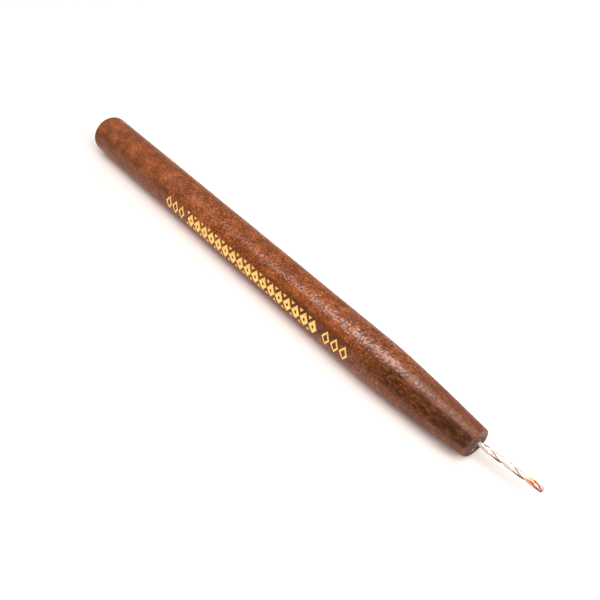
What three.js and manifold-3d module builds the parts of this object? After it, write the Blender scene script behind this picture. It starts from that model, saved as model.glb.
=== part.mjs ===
// Clay drill tool: a small steel twist drill glued into the nose of a turned wooden handle.
// Millimetres, +Z up. The tool lies along X with its drill towards +X, resting on a narrow flat of the handle.
// The origin is on the surface that it lies on, under the middle of its box.
import * as THREE from "three";
import { mergeVertices } from "three/addons/utils/BufferGeometryUtils.js";
import Module from "manifold-3d";

// Handle: a straight barrel, a conical nose and flat ends with eased edges
const handleLength = 127;
const handleDiameter = 9.5;
const taperLength = 22;
const noseDiameter = 6.4;
const shoulderBlend = 5; // length over which the barrel rounds into the taper
const buttEase = 0.5;
const noseEase = 0.4;
const restFlat = 0.2; // depth of the narrow flat that stands in for the line of rest of a round handle

// Twist drill: a plain shank and two right-hand flutes up to a conical point
const bitDiameter = 1.19;
const bitLength = 44.5;
const fluteLength = 19;
const fluteLead = 9.3; // length of one full turn of a flute
const fluteRadius = 0.42;
const webThickness = 0.26;
const pointAngle = 118;

// How the drill sits in the nose
const bitReach = 13.65; // length that stands out of the nose
const bitLean = 4.7; // degrees off the handle's axis, sideways
const boreOffset = 0.5; // sideways, from the middle of the nose

// Glue: a cup round the shank, filling the bore
const glueFilm = 0.12;
const glueFloor = 0.8;
const glueRecess = 0.15; // how far the glue stays below the nose's face
const fitGap = 0.05; // kept between each piece and the next

// Fineness
const handleSides = 24;
const boreSides = 20;
const curveSteps = 3;
const fluteSides = 14;
const stepsPerTurn = 18;
const weldDistance = 1e-4;

// Sizes that follow
const handleRadius = handleDiameter / 2;
const noseRadius = noseDiameter / 2;
const bitRadius = bitDiameter / 2;
const setDepth = bitLength - bitReach;
const pointHeight = bitRadius / Math.tan(THREE.MathUtils.degToRad(pointAngle / 2));
const boreRadius = bitRadius + glueFilm + 2 * fitGap;
const boreDepth = setDepth + glueFloor + 2 * fitGap;
const leanAngle = THREE.MathUtils.degToRad(bitLean);
const overallLength = handleLength + bitReach * Math.cos(leanAngle);
const axisHeight = handleRadius - restFlat;

const wasm = await Module();
wasm.setup();

// A closed solid for joining and cutting, from a geometry's positions alone
function toSolid(geometry) {
  const bare = geometry.clone();
  bare.deleteAttribute("normal");
  bare.deleteAttribute("uv");
  const merged = mergeVertices(bare, weldDistance);
  const corners = merged.index.array;
  const kept = [];
  for (let i = 0; i < corners.length; i += 3) {
    const [a, b, c] = corners.slice(i, i + 3);
    if (a !== b && b !== c && c !== a) kept.push(a, b, c);
  }
  return new wasm.Manifold(new wasm.Mesh({
    numProp: 3,
    vertProperties: new Float32Array(merged.attributes.position.array),
    triVerts: new Uint32Array(kept),
  }));
}

// A flat-shaded geometry from a closed solid
function toGeometry(solid) {
  const mesh = solid.getMesh();
  const geometry = new THREE.BufferGeometry();
  geometry.setAttribute("position", new THREE.BufferAttribute(mesh.vertProperties, 3));
  geometry.setIndex(new THREE.BufferAttribute(mesh.triVerts, 1));
  const flat = geometry.toNonIndexed();
  flat.computeVertexNormals();
  return flat;
}

// An outline of (radius, place along the axis) points turned round the X axis. Its flats touch the true round,
// and one of them faces down.
function turned(points, sides) {
  const halfStep = Math.PI / sides;
  const cornerScale = 1 / Math.cos(halfStep);
  const corners = points.map((point) => new THREE.Vector2(point.x * cornerScale, point.y));
  return new THREE.LatheGeometry(corners, sides, halfStep).rotateZ(-Math.PI / 2);
}

// The drill's line: its origin is where the drill leaves the nose, and +X runs out along the drill
const drillLine = new THREE.Group();
drillLine.position.set(handleLength, boreOffset, 0);
drillLine.rotation.z = leanAngle;
drillLine.updateMatrix();

// Handle, with the flat that it rests on and its blind bore along the drill's line
function makeHandle() {
  const shoulder = handleLength - taperLength;
  const slope = (handleRadius - noseRadius) / taperLength;
  const blend = shoulderBlend / 2;
  const outline = new THREE.Path();
  outline.moveTo(0, 0);
  outline.lineTo(handleRadius - buttEase, 0);
  outline.quadraticCurveTo(handleRadius, 0, handleRadius, buttEase);
  outline.lineTo(handleRadius, shoulder - blend);
  outline.quadraticCurveTo(handleRadius, shoulder, handleRadius - slope * blend, shoulder + blend);
  outline.lineTo(noseRadius + slope * noseEase, handleLength - noseEase);
  outline.quadraticCurveTo(noseRadius, handleLength, noseRadius - noseEase, handleLength);
  outline.lineTo(0, handleLength);
  const body = toSolid(turned(outline.getPoints(curveSteps), handleSides));

  const below = new THREE.BoxGeometry(2 * handleLength, 2 * handleDiameter, handleDiameter);
  below.translate(handleLength / 2, 0, -axisHeight - handleDiameter / 2);

  const runOut = boreRadius; // takes the cut clear of the nose's face
  const bore = turned([
    new THREE.Vector2(0, -boreDepth),
    new THREE.Vector2(boreRadius, -boreDepth),
    new THREE.Vector2(boreRadius, runOut),
    new THREE.Vector2(0, runOut),
  ], boreSides);
  bore.applyMatrix4(drillLine.matrix);
  return toGeometry(body.subtract(toSolid(below)).subtract(toSolid(bore)));
}

// A round bar as long as the drill's flutes, wound round the X axis beside the web
function fluteCut(side) {
  const outline = new THREE.Shape();
  outline.absarc(side * (webThickness / 2 + fluteRadius), 0, fluteRadius, 0, 2 * Math.PI);
  const runOut = bitRadius; // takes the cut clear of the point
  const depth = fluteLength + runOut;
  const steps = Math.ceil((depth / fluteLead) * stepsPerTurn);
  const curveSegments = fluteSides / 2;
  const bar = new THREE.ExtrudeGeometry(outline, { depth, steps, curveSegments, bevelEnabled: false });
  const place = bar.attributes.position;
  const point = new THREE.Vector3();
  const along = new THREE.Vector3(0, 0, 1);
  for (let i = 0; i < place.count; i += 1) {
    point.fromBufferAttribute(place, i);
    point.applyAxisAngle(along, (2 * Math.PI * point.z) / fluteLead);
    place.setXYZ(i, point.x, point.y, point.z);
  }
  return bar.rotateY(Math.PI / 2).translate(bitReach - fluteLength, 0, 0);
}

// Drill bit: a pointed rod with its two flutes cut away
function makeBit() {
  const rod = turned([
    new THREE.Vector2(0, -setDepth),
    new THREE.Vector2(bitRadius, -setDepth),
    new THREE.Vector2(bitRadius, bitReach - pointHeight),
    new THREE.Vector2(0, bitReach),
  ], boreSides);
  return toGeometry(toSolid(rod).subtract(toSolid(fluteCut(1))).subtract(toSolid(fluteCut(-1))));
}

// Adhesive: the cured cup between the shank and the bore, open towards the nose
function makeAdhesive() {
  const outer = boreRadius - fitGap;
  const inner = bitRadius + fitGap;
  const floor = -setDepth - fitGap;
  return turned([
    new THREE.Vector2(0, floor - glueFloor),
    new THREE.Vector2(outer, floor - glueFloor),
    new THREE.Vector2(outer, -glueRecess),
    new THREE.Vector2(inner, -glueRecess),
    new THREE.Vector2(inner, floor),
    new THREE.Vector2(0, floor),
  ], boreSides);
}

function piece(name, geometry, color, roughness, metalness) {
  const material = new THREE.MeshStandardMaterial({ color, roughness, metalness });
  const mesh = new THREE.Mesh(geometry, material);
  mesh.name = name;
  return mesh;
}

drillLine.add(piece("drill_bit", makeBit(), 0xc9c4c0, 0.25, 1));
drillLine.add(piece("adhesive", makeAdhesive(), 0xb8935a, 0.35, 0));

const lyingTool = new THREE.Group();
lyingTool.position.set(-overallLength / 2, 0, axisHeight);
lyingTool.add(piece("handle", makeHandle(), 0x8c5a40, 0.4, 0));
lyingTool.add(drillLine);

const clayDrillTool = new THREE.Group();
clayDrillTool.add(lyingTool);

export default clayDrillTool;
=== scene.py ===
import math

import bmesh
import bpy
from mathutils import Matrix, Vector, noise


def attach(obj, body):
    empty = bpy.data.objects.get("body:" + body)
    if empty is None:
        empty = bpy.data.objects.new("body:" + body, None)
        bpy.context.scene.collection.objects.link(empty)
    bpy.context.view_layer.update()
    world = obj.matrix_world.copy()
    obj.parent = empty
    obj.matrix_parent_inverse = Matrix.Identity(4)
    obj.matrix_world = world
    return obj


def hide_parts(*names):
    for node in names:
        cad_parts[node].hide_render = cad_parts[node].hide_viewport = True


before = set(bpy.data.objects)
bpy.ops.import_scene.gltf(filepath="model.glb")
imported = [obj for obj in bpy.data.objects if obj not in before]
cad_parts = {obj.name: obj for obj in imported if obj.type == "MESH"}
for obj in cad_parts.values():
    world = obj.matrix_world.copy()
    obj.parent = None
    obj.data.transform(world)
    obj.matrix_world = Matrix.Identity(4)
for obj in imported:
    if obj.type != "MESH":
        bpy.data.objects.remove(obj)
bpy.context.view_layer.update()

MM = 0.001

# The CAD's own sizes, in millimetres
HANDLE_LENGTH = 127.0
HANDLE_RADIUS = 4.75
TAPER_LENGTH = 22.0
NOSE_RADIUS = 3.2
AXIS_HEIGHT = 4.55  # of the handle's axis, above what the tool lies on
BIT_RADIUS = 0.595
BIT_LENGTH = 44.5
BIT_REACH = 13.65  # length that stands out of the nose
BIT_LEAN = math.radians(4.7)
BORE_OFFSET = 0.5
FLUTE_LENGTH = 19.0
FLUTE_LEAD = 9.3  # length of one full turn of a flute
FLUTE_RADIUS = 0.42
WEB = 0.26
POINT_ANGLE = math.radians(118.0)

# Places that follow from them
BUTT_X = -(HANDLE_LENGTH + BIT_REACH * math.cos(BIT_LEAN)) / 2
NOSE_X = BUTT_X + HANDLE_LENGTH
POINT_X = -BUTT_X
DRILL_ROOT = Vector((NOSE_X, BORE_OFFSET, AXIS_HEIGHT))  # where the drill leaves the nose
DRILL_LINE = Vector((math.cos(BIT_LEAN), math.sin(BIT_LEAN), 0))
DRILL_SIDE = Vector((-math.sin(BIT_LEAN), math.cos(BIT_LEAN), 0))
DRILL_FRAME = Matrix.Translation(DRILL_ROOT) @ Matrix.Rotation(BIT_LEAN, 4, "Z")


def clamp(value):
    return min(1.0, max(0.0, value))


# ---------------------------------------------------------------- mesh helpers
def add_object(name, data):
    made = bpy.data.objects.new(name, data)
    bpy.context.scene.collection.objects.link(made)
    return made


def mesh_object(name, verts, faces, smooth=True):
    """An object from vertices in millimetres and faces, with its faces turned outwards."""
    mesh = bpy.data.meshes.new(name)
    mesh.from_pydata([tuple(c * MM for c in v) for v in verts], [], faces)
    work = bmesh.new()
    work.from_mesh(mesh)
    bmesh.ops.recalc_face_normals(work, faces=work.faces)
    work.to_mesh(mesh)
    work.free()
    for face in mesh.polygons:
        face.use_smooth = smooth
    return add_object(name, mesh)


def skin(rings, start, end):
    """Vertices and faces of a closed tube through rings of equal length, from the point start to the point end."""
    count = len(rings[0])
    verts = [p for ring in rings for p in ring] + [start, end]
    first, last = len(verts) - 2, len(verts) - 1
    last_ring = (len(rings) - 1) * count
    faces = []
    for a in range(0, last_ring, count):
        b = a + count
        for j in range(count):
            k = (j + 1) % count
            faces.append((a + j, a + k, b + k, b + j))
    faces += [(first, (j + 1) % count, j) for j in range(count)]
    faces += [(last, last_ring + j, last_ring + (j + 1) % count) for j in range(count)]
    return verts, faces


def circle(count):
    """Angles evenly round a full turn."""
    return [2 * math.pi * i / count for i in range(count)]


# ---------------------------------------------------------------- handle
SIDES = 160
RING_STEP = 0.7  # between the rings along the barrel
EDGE_EASE = 0.5  # radius of the eased edges
EASE_STEPS = 6
SHOULDER_BLEND = 3.5  # half the length over which the barrel rounds into the taper
TAPER_FULLNESS = 0.08  # how far the taper swells out at its middle
BUTT_RINGS = 14
NOSE_RINGS = 14
SLANT = 0.051  # slope of the nose's face, which was sawn a little out of square
SLANT_SIDE = (0.85, 0.525)  # Y and Z of the side where it stands out
SLANT_LENGTH = 3.0  # over which the side evens that out
NOSE_DISH = 0.02
MOUTH_SCALE = 1.1  # of the bore's mouth, before its wall starts
BORE_RADIUS = BIT_RADIUS + 0.17
BORE_DEPTHS = (0.09, 0.3, 2.0, 10.0, 31.4)


def relief(x, y, z):
    """How far the lacquered wood stands out or in from a true turning, in millimetres."""
    broad = noise.noise(Vector((x * 0.09, y * 0.22, z * 0.22)))
    fine = noise.noise(Vector((x * 0.33 + 9, y * 0.55, z * 0.55)))
    return 0.018 * broad + 0.010 * fine


def barrel_radius(x):
    """Radius of the turning at x from the butt, between the two eased edges."""
    past = x - (HANDLE_LENGTH - TAPER_LENGTH)
    slope = (HANDLE_RADIUS - NOSE_RADIUS) / TAPER_LENGTH
    full = TAPER_FULLNESS * math.sin(math.pi * clamp(past / TAPER_LENGTH)) ** 2
    if past < -SHOULDER_BLEND:
        return HANDLE_RADIUS
    if past > SHOULDER_BLEND:
        return HANDLE_RADIUS - slope * past + full
    t = (past + SHOULDER_BLEND) / (2 * SHOULDER_BLEND)
    return HANDLE_RADIUS - slope * SHOULDER_BLEND * t * t + full


def handle_outline():
    """(x from the butt, radius) points from the rim of the butt's flat to the rim of the nose's flat."""
    ease = []
    for i in range(EASE_STEPS + 1):
        a = math.pi / 2 * i / EASE_STEPS
        ease.append((EDGE_EASE * (1 - math.sin(a)), EDGE_EASE * (1 - math.cos(a))))
    points = [(back, HANDLE_RADIUS - down) for back, down in reversed(ease)]
    x = EDGE_EASE + RING_STEP / 2
    while x < HANDLE_LENGTH - 1.5 * EDGE_EASE:
        points.append((x, barrel_radius(x)))
        x += RING_STEP
    rim = barrel_radius(HANDLE_LENGTH - EDGE_EASE)
    return points + [(HANDLE_LENGTH - back, rim - down) for back, down in ease]


def out_of_square(x, y, z):
    """How far the end of the nose stands out along X on one side."""
    reach = clamp((x - (HANDLE_LENGTH - SLANT_LENGTH)) / SLANT_LENGTH)
    return SLANT * reach * (SLANT_SIDE[0] * y + SLANT_SIDE[1] * z)


def on_handle(x, radius, angle):
    """A point of the handle. The angle goes from +Y towards +Z."""
    y, z = radius * math.cos(angle), radius * math.sin(angle)
    swell = relief(x, y, z) * min(1.0, radius / 2)
    scale = (radius + swell) / radius
    return (BUTT_X + x + out_of_square(x, y, z), y * scale, max(AXIS_HEIGHT + z * scale, 0.0))


def end_grain(y, z, seed):
    """How rough the sawn end is, in millimetres along X."""
    return 0.035 * noise.noise(Vector((y * 1.4, z * 1.4, seed))) + 0.02 * noise.noise(Vector((y * 4, z * 4, seed + 7)))


def bore_point(angle, depth):
    """A point of the bore's wall, at a depth below the nose's face measured along the drill."""
    across = DRILL_SIDE * math.cos(angle) + Vector((0, 0, 1)) * math.sin(angle)
    p = DRILL_ROOT + across * BORE_RADIUS
    p += DRILL_LINE * ((DRILL_ROOT.x - p.x) / DRILL_LINE.x)
    return p - DRILL_LINE * depth


def make_handle():
    angles = circle(SIDES)
    rings = []
    for k in range(1, BUTT_RINGS + 1):
        r = (HANDLE_RADIUS - EDGE_EASE) * k / (BUTT_RINGS + 1)
        rough = (1 - k / (BUTT_RINGS + 1)) ** 0.5
        places = [(r * math.cos(a), r * math.sin(a)) for a in angles]
        rings.append([(BUTT_X + end_grain(y, z, 0) * rough, y, AXIS_HEIGHT + z) for y, z in places])

    outline = handle_outline()
    rings += [[on_handle(x, r, a) for a in angles] for x, r in outline]

    # Nose: from the rim in to the mouth of the bore, and down the bore
    rim = outline[-1][1]
    for k in range(1, NOSE_RINGS + 1):
        t = k / NOSE_RINGS
        ring = []
        for a in angles:
            mouth = DRILL_ROOT + (bore_point(a, 0) - DRILL_ROOT) * MOUTH_SCALE
            y = rim * math.cos(a) * (1 - t) + mouth.y * t
            z = (AXIS_HEIGHT + rim * math.sin(a)) * (1 - t) + mouth.z * t
            up = z - AXIS_HEIGHT
            dig = end_grain(y, up, 3) * math.sin(math.pi * min(t, 0.5)) - NOSE_DISH * t
            ring.append((NOSE_X + dig + out_of_square(HANDLE_LENGTH, y, up), y, z))
        rings.append(ring)
    rings += [[tuple(bore_point(a, depth)) for a in angles] for depth in BORE_DEPTHS]

    floor = DRILL_ROOT - DRILL_LINE * BORE_DEPTHS[-1]
    made = mesh_object("handle_wood", *skin(rings, (BUTT_X, 0, AXIS_HEIGHT), tuple(floor)))

    # All but the side is end grain, and so is the last step of the nose's eased edge
    first_side = BUTT_RINGS * SIDES
    last_side = (BUTT_RINGS + len(outline) - 2) * SIDES
    for i, face in enumerate(made.data.polygons):
        face.material_index = 0 if first_side <= i < last_side else 1
    return made


# ---------------------------------------------------------------- drill bit
SECTION_STEPS = 24  # on each land and in each flute
LAND_CLEARANCE = 0.022  # of the land behind its margin
LAND_MARGIN = 0.2  # share of the land
MARGIN_STEP = 0.05
SHANK_RINGS = ((0.0, 0.85), (0.1, 1.0), (8.0, 1.0), (16.0, 1.0))  # (x from the hidden end, share of the radius)
RUN_OUT_LENGTH = 1.6
RUN_OUT_RINGS = 16
FLUTE_RINGS = 200
POINT_RINGS = (1.0, 0.97, 0.85, 0.65, 0.45, 0.25, 0.1)  # shares of the radius


def flute_section():
    """The drill's outline across its flutes, as (y, z, how deep in a flute) points."""
    centre = WEB / 2 + FLUTE_RADIUS
    opening = math.acos((BIT_RADIUS ** 2 + centre ** 2 - FLUTE_RADIUS ** 2) / (2 * BIT_RADIUS * centre))
    land = math.pi - 2 * opening
    half = []
    for i in range(SECTION_STEPS + 1):
        t = i / SECTION_STEPS
        a = opening + land * t
        r = BIT_RADIUS - LAND_CLEARANCE * clamp((1 - t - LAND_MARGIN) / MARGIN_STEP)
        half.append((r * math.cos(a), r * math.sin(a), 0.0))

    y, z = BIT_RADIUS * math.cos(opening), BIT_RADIUS * math.sin(opening)
    sweep = math.pi - math.atan2(z, y - centre)
    for i in range(1, SECTION_STEPS):
        a = -sweep + 2 * sweep * (i / SECTION_STEPS)
        y, z = -centre + FLUTE_RADIUS * math.cos(a), -FLUTE_RADIUS * math.sin(a)
        half.append((y, z, 1 - math.hypot(y, z) / BIT_RADIUS))
    return half + [(-y, -z, depth) for y, z, depth in half]


def make_bit():
    section = flute_section()
    rings, depths = [], []

    def ring_at(x, fluted=1.0, shrink=1.0, cone=False):
        """A ring of the drill, from round where fluted is 0. On the cone, x is where its tip is."""
        ring = []
        for y, z, _ in section:
            r = (math.hypot(y, z) * fluted + BIT_RADIUS * (1 - fluted)) * shrink
            at = x - r / math.tan(POINT_ANGLE / 2) if cone else x
            a = math.atan2(z, y) + 2 * math.pi * at / FLUTE_LEAD
            ring.append(tuple(DRILL_FRAME @ Vector((at, r * math.cos(a), r * math.sin(a)))))
        rings.append(ring)
        depths.extend(depth * fluted for _, _, depth in section)

    # The shank, the flutes' run-out, the flutes and the point
    base = BIT_REACH - BIT_LENGTH
    start = BIT_REACH - FLUTE_LENGTH
    for x, shrink in SHANK_RINGS:
        ring_at(base + x, 0.0, shrink)
    ring_at(start - RUN_OUT_LENGTH, 0.0)
    for i in range(RUN_OUT_RINGS):
        t = (i + 1) / RUN_OUT_RINGS
        ring_at(start - 1.4 + RUN_OUT_LENGTH * i / RUN_OUT_RINGS, t * t * (3 - 2 * t))
    start += 0.3
    end = BIT_REACH - BIT_RADIUS / math.tan(POINT_ANGLE / 2) - 0.08
    for i in range(FLUTE_RINGS + 1):
        ring_at(start + (end - start) * i / FLUTE_RINGS)
    for shrink in POINT_RINGS:
        ring_at(BIT_REACH, 1.0, shrink, cone=True)

    tip = DRILL_FRAME @ Vector((BIT_REACH - 0.01, 0, 0))
    made = mesh_object("drill_bit_steel", *skin(rings, tuple(DRILL_FRAME @ Vector((base, 0, 0))), tuple(tip)))
    layer = made.data.attributes.new("flute", "FLOAT", "POINT")
    layer.data.foreach_set("value", depths + [0.0, 0.0])
    return made


# ---------------------------------------------------------------- glue
GLUE_SIDES = 72
# (radius, x from the nose) points, from down in the bore to where the glue ends on the drill
GLUE_OUTLINE = ((0.762, -1.2), (0.762, -0.30), (0.92, -0.20), (1.00, -0.10), (0.98, -0.03), (0.90, 0.03), (0.80, 0.08),
                (0.72, 0.13), (0.66, 0.18), (0.62, 0.23), (0.60, 0.26), (0.55, 0.27), (0.40, 0.27), (0.2, 0.27))


def make_glue():
    """The cured glue round the shank: it fills the bore's mouth and climbs a little up the drill."""
    rings = []
    for r, x in GLUE_OUTLINE:
        ring = []
        for a in circle(GLUE_SIDES):
            wave = noise.noise(Vector((math.cos(a) * 1.3, math.sin(a) * 1.3, 5)))
            wide = r * (1 + 0.18 * wave) if r > 0.8 else r
            high = x * (1 + 0.25 * wave) if x > 0 else x
            ring.append(tuple(DRILL_FRAME @ Vector((high, wide * math.cos(a), wide * math.sin(a)))))
        rings.append(ring)
    ends = [tuple(DRILL_FRAME @ Vector((GLUE_OUTLINE[i][1], 0, 0))) for i in (0, -1)]
    return mesh_object("adhesive_meniscus", *skin(rings, *ends))


# ---------------------------------------------------------------- gold foil ornament
FOIL_TURN = math.radians(77.4)  # of the foil's middle line, from the top of the barrel towards the front
FOIL_HEIGHT = 3.35
FOIL_ABOVE, FOIL_BELOW = 0.022, 0.03  # its two faces, above and below the wood's own
BOLD_HOLE = (0.75, 1.0)  # width and height of the hole in a bold lozenge
FINE_LINE = (0.95, 1.25)  # how much narrower and lower a fine lozenge is inside than outside
TRIANGLE_HEIGHT = 0.7
CUTS_ACROSS = [0.25 * i for i in range(-9, 10)]
CUTS_ALONG = [0.7 * i for i in range(-54, 43)]
SORT_LINE = Vector((1.0, 0.618034, 0.31831))  # slanted, so that no two parts lie equally far along it


def foil_shapes():
    """Flat outlines (x from the middle of the CAD box, height along the arc) of the ornament, as lists of corners."""
    shapes = []

    def lozenge(cx, w, h):
        return [(cx - w / 2, 0), (cx, -h / 2), (cx + w / 2, 0), (cx, h / 2)]

    def ring(outer, inner):
        for i in range(4):
            j = (i + 1) % 4
            shapes.append([outer[i], outer[j], inner[j], inner[i]])

    def bold(start, end, count):
        """Lozenges with a small hole, and triangles between them along both edges."""
        step = (end - start) / count
        for i in range(count):
            left = start + step * i
            cx = start + step * (i + 0.5)
            ring(lozenge(cx, step * 0.96, FOIL_HEIGHT), lozenge(cx, *BOLD_HOLE))
            for side in (-1, 1):
                edge = side * FOIL_HEIGHT / 2
                corners = [(left - step * 0.2, edge), (left + step * 0.2, edge), (left, edge - side * TRIANGLE_HEIGHT)]
                shapes.append(corners if side > 0 else corners[::-1])

    def fine(start, end, count):
        """Lozenges in a thin line."""
        step = (end - start) / count
        width = step * 0.9
        for i in range(count):
            cx = start + step * (i + 0.5)
            ring(lozenge(cx, width, FOIL_HEIGHT), lozenge(cx, width - FINE_LINE[0], FOIL_HEIGHT - FINE_LINE[1]))

    fine(-36.0, -28.2, 3)
    bold(-27.0, 18.9, 17)
    fine(20.2, 28.0, 3)
    return shapes


def make_foil():
    work = bmesh.new()
    for shape in foil_shapes():
        work.faces.new([work.verts.new((x, y, 0)) for x, y in shape])

    # Cut up finely enough to bend round the barrel and to follow its relief
    planes = [((0, y, 0), (0, 1, 0)) for y in CUTS_ACROSS] + [((x, 0, 0), (1, 0, 0)) for x in CUTS_ALONG]
    for place, normal in planes:
        every = list(work.verts) + list(work.edges) + list(work.faces)
        bmesh.ops.bisect_plane(work, geom=every, plane_co=place, plane_no=normal)
    bmesh.ops.remove_doubles(work, verts=work.verts, dist=1e-4)
    bmesh.ops.recalc_face_normals(work, faces=work.faces)

    grown = bmesh.ops.extrude_face_region(work, geom=list(work.faces))
    upper = {v for v in grown["geom"] if isinstance(v, bmesh.types.BMVert)}
    for v in work.verts:
        x, height = v.co.x, v.co.y
        angle = math.pi / 2 + FOIL_TURN - height / HANDLE_RADIUS
        y, z = HANDLE_RADIUS * math.cos(angle), HANDLE_RADIUS * math.sin(angle)
        r = HANDLE_RADIUS + relief(x - BUTT_X, y, z) + (FOIL_ABOVE if v in upper else -FOIL_BELOW)
        v.co = (x * MM, r * math.cos(angle) * MM, (AXIS_HEIGHT + r * math.sin(angle)) * MM)
    bmesh.ops.recalc_face_normals(work, faces=work.faces)

    # The extrusion stores its parts in another order each run, so each kind is sorted by where its parts lie
    for parts, middle in ((work.verts, lambda v: v.co), (work.edges, lambda e: e.verts[0].co + e.verts[1].co),
                          (work.faces, lambda f: f.calc_center_median())):
        parts.sort(key=lambda part: middle(part).dot(SORT_LINE))
        parts.index_update()
    mesh = bpy.data.meshes.new("foil_ornament")
    work.to_mesh(mesh)
    work.free()
    return add_object("foil_ornament", mesh)


# ---------------------------------------------------------------- node helpers
MIX_FACTOR, MIX_A, MIX_B, MIX_RESULT = 0, 6, 7, 2  # the Mix node's sockets for colours


def srgb(r, g, b):
    """A colour from its 0 to 255 values on a screen."""
    def linear(c):
        c /= 255
        return c / 12.92 if c <= 0.04045 else ((c + 0.055) / 1.055) ** 2.4
    return (linear(r), linear(g), linear(b), 1.0)


class Nodes:
    """A node tree, with short calls for the nodes that this script uses."""

    def __init__(self, tree):
        self.tree = tree

    def node(self, kind, **settings):
        made = self.tree.nodes.new(kind)
        for key, value in settings.items():
            setattr(made, key, value)
        return made

    def link(self, source, target):
        self.tree.links.new(source, target)

    def put(self, socket, value):
        if isinstance(value, bpy.types.NodeSocket):
            self.link(value, socket)
        else:
            socket.default_value = value

    def fade(self, value, start, end, low, high):
        """low at start, high at end, a smooth step between them and no further."""
        made = self.node("ShaderNodeMapRange", interpolation_type="SMOOTHSTEP")
        self.link(value, made.inputs["Value"])
        for name, number in (("From Min", start), ("From Max", end), ("To Min", low), ("To Max", high)):
            made.inputs[name].default_value = number
        return made.outputs["Result"]

    def math(self, operation, *values):
        made = self.node("ShaderNodeMath", operation=operation)
        for socket, value in zip(made.inputs, values):
            self.put(socket, value)
        return made.outputs["Value"]

    def minus(self, a, b):
        return self.math("SUBTRACT", a, b)

    def plus(self, a, b):
        return self.math("ADD", a, b)

    def times(self, first, *others):
        for other in others:
            first = self.math("MULTIPLY", first, other)
        return first

    def most(self, first, *others):
        for other in others:
            first = self.math("MAXIMUM", first, other)
        return first

    def seen(self):
        """1 for what the camera, a reflection or a refraction sees, and 0 for what lights the object."""
        path = self.node("ShaderNodeLightPath").outputs
        return self.most(path["Is Camera Ray"], path["Is Glossy Ray"], path["Is Transmission Ray"])


class Material(Nodes):
    """A new material, with short calls for what its colour, gloss and bump are made of."""

    def __init__(self, name):
        self.material = bpy.data.materials.new(name)
        self.material.use_nodes = True
        super().__init__(self.material.node_tree)
        self.shader = self.tree.nodes["Principled BSDF"]

    def set(self, **values):
        """Puts each value on the shader's input of that name, with _ for a space."""
        for name, value in values.items():
            self.put(self.shader.inputs[name.replace("_", " ")], value)

    def place(self, *stretch):
        """Object coordinates in millimetres, each axis divided by its stretch."""
        coords = self.node("ShaderNodeTexCoord")
        mapping = self.node("ShaderNodeMapping")
        mapping.inputs["Scale"].default_value = [1000 / s for s in stretch or (1, 1, 1)]
        self.link(coords.outputs["Object"], mapping.inputs["Vector"])
        return mapping.outputs["Vector"]

    def noise(self, where, scale, detail=2.0, rough=0.5):
        """A level round 0.5 that varies with the place, scale times a millimetre."""
        made = self.node("ShaderNodeTexNoise")
        self.link(where, made.inputs["Vector"])
        made.inputs["Scale"].default_value = scale
        made.inputs["Detail"].default_value = detail
        made.inputs["Roughness"].default_value = rough
        return made.outputs["Fac"]

    def ramp(self, value, *stops):
        """A grey level or a colour from (place, level or colour) stops."""
        made = self.node("ShaderNodeValToRGB")
        band = made.color_ramp
        while len(band.elements) < len(stops):
            band.elements.new(0.5)
        for element, (at, level) in zip(band.elements, stops):
            element.position = at
            element.color = level if isinstance(level, tuple) else (level, level, level, 1)
        self.link(value, made.inputs["Fac"])
        return made.outputs["Color"]

    def mix(self, factor, a, b, blend="MIX"):
        made = self.node("ShaderNodeMix", data_type="RGBA", blend_type=blend)
        self.put(made.inputs[MIX_FACTOR], factor)
        self.put(made.inputs[MIX_A], a)
        self.put(made.inputs[MIX_B], b)
        return made.outputs[MIX_RESULT]

    def bump(self, height, distance):
        """A normal for a height that stands out by distance millimetres at 1."""
        made = self.node("ShaderNodeBump")
        made.inputs["Distance"].default_value = distance * MM
        self.link(height, made.inputs["Height"])
        return made.outputs["Normal"]

    def split(self, vector):
        made = self.node("ShaderNodeSeparateXYZ")
        self.link(vector, made.inputs["Vector"])
        return made.outputs


# ---------------------------------------------------------------- materials
class Wood(Material):
    """The handle's material, with the places on the handle that its colour, its painted shade and its lacquer follow.
    """

    def __init__(self, name):
        super().__init__(name)
        self.even = self.place()
        self.grain = self.place(1.25, 1.0, 1.0)
        self.x, self.y, z = self.split(self.even)
        self.up = self.minus(z, AXIS_HEIGHT)
        self.radius = self.math("SQRT", self.plus(self.times(self.y, self.y), self.times(self.up, self.up)))
        self.along = self.math("DIVIDE", self.minus(self.x, BUTT_X), HANDLE_LENGTH)

    def lengthwise(self, *stops):
        """A level from (millimetres along X, level) stops."""
        return self.ramp(self.along, *[((x - BUTT_X) / HANDLE_LENGTH, level) for x, level in stops])

    def side(self, y, z, start, end):
        """0 to 1 as the cosine between the surface's direction from the axis and (y, z) goes from start to end."""
        size = math.hypot(y, z)
        dot = self.plus(self.times(self.y, y / size), self.times(self.up, z / size))
        return self.fade(self.math("DIVIDE", dot, self.radius), start, end, 0.0, 1.0)


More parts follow.
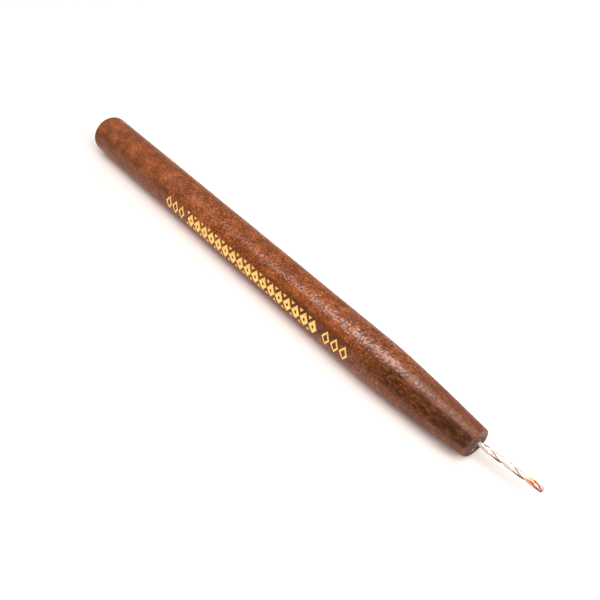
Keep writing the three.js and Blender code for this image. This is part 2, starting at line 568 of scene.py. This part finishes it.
def stain_and_shade(m, fibre, speck):
    """The wood's colour: its figure and speckle, stained differently along and round the handle, with painted shade low
    on its front, on the butt's eased edge and, together with darker wood, on one side of the nose.
    """
    # The speckle is strongest on the nose, weaker just behind it, and fades towards the butt
    speckle = m.lengthwise((-66, 0.3), (-40, 0.5), (-20, 0.9), (0, 0.85), (10, 0.68), (22, 0.66), (33, 0.95), (42, 1.0))
    coarse = m.minus(m.noise(m.grain, 0.4, 1.0, 0.6), 0.5)
    fine = m.minus(m.noise(m.grain, 2.3, 2.0, 0.7), 0.5)
    figure = m.plus(m.math("MULTIPLY_ADD", coarse, 0.45, 0.5), m.times(fine, m.times(speckle, 1.35)))
    base = m.ramp(figure, (0.32, srgb(104, 55, 32)), (0.42, srgb(134, 72, 40)), (0.50, srgb(155, 84, 48)),
                  (0.58, srgb(172, 95, 55)), (0.68, srgb(204, 120, 74)))
    base = m.mix(m.ramp(fibre, (0.38, 0.35), (0.5, 0.0)), base, srgb(96, 48, 24))
    base = m.mix(m.times(m.ramp(speck, (0.27, 0.7), (0.36, 0.0)), speckle), base, srgb(62, 32, 20))

    # It is more orange on one side; below that, painted shade makes it darker in patches
    warm = m.lengthwise((-32, 0.0), (-10, 1.0), (33, 1.0), (42, 0.3))
    base = m.mix(m.times(m.side(-0.574, 0.819, 0.8, 0.95), warm), base, (0.99, 0.91, 0.73, 1), "MULTIPLY")
    low = m.lengthwise((-60, 0.42), (-46, 0.38), (-32, 0.12), (-12, 0.12), (0, 0.3), (8, 0.85), (22, 0.85), (29, 0.5),
                       (40, 0.1))
    cloud = m.ramp(m.noise(m.grain, 0.9, 2.0, 0.6), (0.40, 1.0), (0.60, 0.6))
    base = m.mix(m.times(m.side(-0.93, 0.37, 0.88, 0.975), low, cloud), base, srgb(92, 48, 24))

    # It is duller on the nose, and dark along one side of it, partly from darker wood and partly from painted shade,
    # with amber streaks in the dark
    long = m.place(2.2, 1.0, 1.0)
    patch = m.ramp(m.noise(long, 1.4, 2.0, 0.6), (0.40, 1.0), (0.62, 0.6))
    base = m.mix(m.times(m.fade(m.x, 31, 48, 0.0, 0.75), patch), base, srgb(118, 75, 57))
    dark = m.lengthwise((26, 0.0), (31, 0.25), (36, 0.95), (40, 0.95), (43, 0.78), (48, 0.94), (54, 0.94))
    dark = m.times(m.side(-1, 0.90, 0.85, 0.955), dark)
    base = m.mix(m.times(dark, patch), base, srgb(60, 28, 6))
    amber = m.ramp(m.noise(long, 2.0, 2.0, 0.5), (0.52, 0.0), (0.66, 0.85))
    base = m.mix(m.times(amber, dark, m.fade(m.x, 46, 51, 1.0, 0.2)), base, srgb(150, 76, 24))

    # The butt's eased edge is darker, partly as its end grain starts there and partly from painted shade
    return m.mix(m.fade(m.x, BUTT_X + 0.1, BUTT_X + 0.9, 0.75, 0.0), base, srgb(70, 46, 38))


def lacquer_height(m, fibre):
    """The lacquer's surface, which follows the grain and is calmer towards the butt and on the nose."""
    height = m.plus(m.times(m.noise(m.even, 1.7, 0.5, 0.5), 0.72), m.times(fibre, 0.15))
    calm = m.times(m.fade(m.x, -66, -20, 0.3, 1.0), m.fade(m.x, 36, 48, 1.0, 0.7))
    height = m.times(height, m.times(calm, m.fade(m.x, 37, 50, 1.1, 0.55)))
    swell = m.lengthwise((0, 0.0), (22, 1.0), (36, 1.0), (46, 0.3))
    return m.plus(height, m.times(m.noise(m.grain, 0.75, 0.0, 0.5), swell))


def wood_material():
    m = Wood("stained_wood")
    fibre = m.noise(m.place(5.0, 1.0, 1.0), 2.2, 2.0, 0.6)
    speck = m.noise(m.grain, 2.4, 1.0, 0.5)
    coat = m.lengthwise((-60, 0.38), (-15, 0.36), (9, 0.30), (21, 0.38), (28, 0.49), (35, 0.47), (40, 0.35), (46, 0.28),
                        (52, 0.34))
    height = lacquer_height(m, fibre)
    m.set(Base_Color=stain_and_shade(m, fibre, speck), Roughness=m.ramp(speck, (0.3, 0.6), (0.5, 0.45)), Specular_IOR_Level=0.0)
    m.set(Coat_Weight=coat, Coat_Roughness=0.22, Coat_IOR=1.55)
    m.set(Normal=m.bump(height, 0.06), Coat_Normal=m.bump(height, 0.12))
    return m.material


def end_grain_material():
    m = Material("end_grain")
    even = m.place()
    _, y, z = m.split(even)
    fine = m.noise(even, 3.0, 3.0, 0.7)
    broad = m.noise(even, 0.5, 2.0, 0.5)
    base = m.ramp(fine, (0.34, srgb(84, 60, 50)), (0.52, srgb(109, 81, 68)), (0.70, srgb(144, 112, 97)))
    base = m.mix(m.ramp(broad, (0.42, 0.5), (0.56, 0.0)), base, srgb(80, 58, 48))

    # Painted shade low on the front, and painted light high at the back
    high = m.plus(y, z)
    base = m.mix(m.fade(high, AXIS_HEIGHT - 1, AXIS_HEIGHT + 2, 0.3, 0.0), base, srgb(72, 50, 42))
    base = m.mix(m.fade(high, AXIS_HEIGHT + 1, AXIS_HEIGHT + 4, 0.0, 0.75), base, srgb(164, 132, 118))

    # A chip on the nose's end, where the stain has gone
    where = m.node("ShaderNodeVectorMath", operation="DISTANCE")
    m.link(even, where.inputs[0])
    where.inputs[1].default_value = (NOSE_X, -0.43, AXIS_HEIGHT - 1.41)
    chip = m.fade(m.plus(where.outputs["Value"], m.times(fine, 0.4)), 0.45, 0.72, 0.9, 0.0)
    base = m.mix(chip, base, srgb(206, 140, 96))
    m.set(Base_Color=base, Roughness=m.ramp(fine, (0.3, 0.9), (0.7, 0.7)), Specular_IOR_Level=0.25)
    m.set(Normal=m.bump(fine, 0.25))
    return m.material


TINT_UNIT = 6.0  # length behind the point that the ramps of the drill's heat tint go over


def steel_material():
    m = Material("bright_steel")
    x, y, z = m.split(m.place())
    depth = m.node("ShaderNodeAttribute", attribute_name="flute").outputs["Fac"]
    wear = m.noise(m.place(1, 0.4, 0.4), 2.0, 2.0, 0.6)
    steel = m.ramp(wear, (0.3, srgb(214, 206, 200)), (0.7, srgb(236, 230, 226)))

    # How far from the drill's own line, up and towards the back as it lies: -0.6 to 0.6
    line = m.math("MULTIPLY_ADD", m.minus(x, NOSE_X), math.tan(BIT_LEAN), BORE_OFFSET)
    edge = m.plus(m.times(m.minus(y, line), 0.84), m.times(m.minus(z, AXIS_HEIGHT), 0.54))

    # Painted shade and dark reflection in the corners of the flutes, most of it on the front edge, with a painted
    # pinkish-brown reflection along that edge, which is dull too
    flute_shade = m.ramp(depth, (0.0, 0.0), (0.02, 1.0), (0.16, 1.0), (0.3, 0.0))
    flute_shade = m.times(flute_shade, m.fade(edge, -0.35, 0.05, 1.0, 0.12))
    edge_shade = m.times(m.ramp(depth, (0.0, 0.0), (0.03, 1.0)), m.fade(edge, -0.42, -0.2, 1.0, 0.0))
    flute_shade = m.most(flute_shade, edge_shade)
    colour = m.mix(m.fade(edge, -0.54, -0.4, 0.85, 0.0), steel, srgb(180, 124, 102))
    colour = m.mix(flute_shade, colour, srgb(104, 46, 28))

    # Heat tint near the point: straw, then orange on the back edge, and brown at the very end
    back = m.math("DIVIDE", m.minus(POINT_X, x), TINT_UNIT)
    tint = m.ramp(back, (0.26, 0.0), (0.31, 1.0), (0.54, 1.0), (0.66, 0.0))
    tint = m.times(tint, m.fade(edge, -0.45, -0.25, 0.1, 0.95))
    colour = m.mix(tint, colour, m.ramp(back, (0.33, srgb(188, 102, 54)), (0.56, srgb(228, 182, 144))))
    brown = m.times(m.ramp(back, (0.24, 1.0), (0.34, 0.0)), m.fade(edge, -0.25, 0.0, 0.95, 0.1))
    colour = m.mix(brown, colour, srgb(150, 98, 72))

    # The lands are duller than the flutes
    dull = m.most(m.ramp(flute_shade, (0.0, 0.32), (1.0, 0.6)), m.ramp(depth, (0.0, 0.5), (0.03, 0.3)))
    m.set(Base_Color=colour, Metallic=1.0, Roughness=dull, Normal=m.bump(wear, 0.01))
    return m.material


def glue_material():
    m = Material("cured_glue")
    tone = m.noise(m.place(), 3.0)
    m.set(Base_Color=m.ramp(tone, (0.3, srgb(84, 58, 46)), (0.7, srgb(120, 88, 70))))
    m.set(Roughness=m.ramp(tone, (0.3, 0.25), (0.7, 0.4)), Normal=m.bump(tone, 0.03))
    return m.material


def foil_material():
    m = Material("gold_foil")
    long = m.place(1.6, 1, 1)
    tone = m.noise(long, 1.1)
    worn = m.noise(long, 3.0, 2.0, 0.6)
    gone = m.ramp(worn, (0.26, 1.0), (0.33, 0.0))
    gold = m.ramp(tone, (0.3, srgb(240, 202, 112)), (0.7, srgb(254, 228, 146)))
    m.set(Base_Color=m.mix(gone, gold, srgb(120, 72, 40)), Metallic=m.ramp(gone, (0.0, 1.0), (1.0, 0.0)))
    m.set(Roughness=m.ramp(tone, (0.3, 0.45), (0.7, 0.6)), Normal=m.bump(worn, 0.03))
    return m.material


# ---------------------------------------------------------------- pieces in the frame
def dress(piece, materials, node=None):
    for material in materials:
        piece.data.materials.append(material)
    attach(piece, "root")
    if node:
        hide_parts(node)


dress(make_handle(), [wood_material(), end_grain_material()], "handle")
dress(make_bit(), [steel_material()], "drill_bit")
dress(make_glue(), [glue_material()], "adhesive")
dress(make_foil(), [foil_material()], None)


# ---------------------------------------------------------------- floor, light and camera
FLOOR_HALF = 280.0
FLOOR_DROP = 0.01  # below the tool's flat, so that the two don't lie in one plane
FLOOR_COLOUR = (0.88, 0.88, 0.88, 1)
FLOOR_SEEN = (1.26, 1.165, 1.12, 1)  # white where it is lit, and warm in the shadow
WORLD_STRENGTH = 0.465
WORLD_SEEN = 1.0
ROOM_RADIUS, ROOM_FOOT, ROOM_TOP, ROOM_CARDS = 700.0, 2.0, 1000.0, 16

CAMERA_LENS = 48.724
CAMERA_PLACE = (102.215, -77.046, 122.122)
CAMERA_RIGHT = Vector((0.63300216, 0.77415003, 0.0))
CAMERA_FORWARD = Vector((-0.55318485, 0.45232473, -0.69956334))


def set_place(made, place, right, up, back):
    """Puts an object at a place in millimetres, with its own three axes along these directions."""
    turn = Matrix((right, up, back)).transposed().to_4x4()
    made.matrix_world = Matrix.Translation(Vector(place) * MM) @ turn


def make_floor():
    half = FLOOR_HALF
    corners = [(x, y, -FLOOR_DROP) for x, y in ((-half, -half), (half, -half), (half, half), (-half, half))]
    floor = mesh_object("floor", corners, [(0, 1, 2, 3)], smooth=False)
    m = Material("white_floor")
    m.tree.nodes.remove(m.shader)
    pick = m.node("ShaderNodeMixShader")
    m.link(m.seen(), pick.inputs["Fac"])
    for socket, colour in ((pick.inputs[1], FLOOR_COLOUR), (pick.inputs[2], FLOOR_SEEN)):
        matt = m.node("ShaderNodeBsdfDiffuse")
        matt.inputs["Color"].default_value = colour
        m.link(matt.outputs["BSDF"], socket)
    m.link(pick.outputs["Shader"], m.tree.nodes["Material Output"].inputs["Surface"])
    floor.data.materials.append(m.material)


def make_world():
    world = bpy.data.worlds.new("studio")
    bpy.context.scene.world = world
    world.use_nodes = True
    n = Nodes(world.node_tree)
    background = world.node_tree.nodes["Background"]
    background.inputs["Color"].default_value = (1, 1, 1, 1)
    n.link(n.fade(n.seen(), 0.0, 1.0, WORLD_STRENGTH, WORLD_SEEN), background.inputs["Strength"])


def make_lamp(name, place, aim, along, size, power, only_gloss=False):
    """An area lamp whose first side lies as close to the direction along as its aim allows."""
    lamp = bpy.data.lights.new(name, "AREA")
    lamp.shape = "RECTANGLE"
    lamp.size, lamp.size_y = (s * MM for s in size)
    lamp.energy = power
    back = (Vector(place) - Vector(aim)).normalized()
    first = Vector(along)
    first = (first - back * first.dot(back)).normalized()
    made = add_object(name, lamp)
    made.visible_diffuse = not only_gloss
    set_place(made, place, first, back.cross(first), back)


def make_warm_room():
    """Brown cards standing in a ring, which only reflections see, as the room round a white table."""
    count = ROOM_CARDS
    corners = [(ROOM_RADIUS * math.cos(a), ROOM_RADIUS * math.sin(a)) for a in circle(count)]
    verts = [(x, y, z) for z in (ROOM_FOOT, ROOM_TOP) for x, y in corners]
    faces = [(i, (i + 1) % count, count + (i + 1) % count, count + i) for i in range(count)]
    ring = mesh_object("warm_room", verts, faces, smooth=False)
    m = Material("brown_card")
    m.set(Base_Color=(0.92, 0.60, 0.42, 1), Roughness=0.9)
    ring.data.materials.append(m.material)
    ring.visible_camera = False
    ring.visible_diffuse = False
    ring.visible_shadow = False


def make_camera():
    camera = bpy.data.cameras.new("camera")
    camera.lens = CAMERA_LENS
    camera.sensor_width = 36.0
    camera.clip_start = 0.01
    camera.clip_end = 20.0
    made = add_object("camera", camera)
    set_place(made, CAMERA_PLACE, CAMERA_RIGHT, CAMERA_RIGHT.cross(CAMERA_FORWARD), -CAMERA_FORWARD)
    bpy.context.scene.camera = made


make_floor()
make_world()
make_lamp("key", place=(400, -200, 1040), aim=(0, 0, 0), along=(0, 1, 0), size=(600, 600), power=4.55)
make_lamp("side", place=(900, 0, 800), aim=(0, 0, 0), along=(0, 1, 0), size=(600, 600), power=5.3)
make_lamp("gloss_strip", place=(-223, 8, 500), aim=(30, 0, 0), along=(0.68, 0.73, 0), size=(340, 50), power=1.87,
          only_gloss=True)
make_lamp("gloss_panel", place=(-115, 95, 500), aim=(40, 0, 0), along=(1, 0, 0), size=(140, 440), power=0.87,
          only_gloss=True)
make_warm_room()
make_camera()
bpy.context.scene.view_settings.view_transform = "Standard"
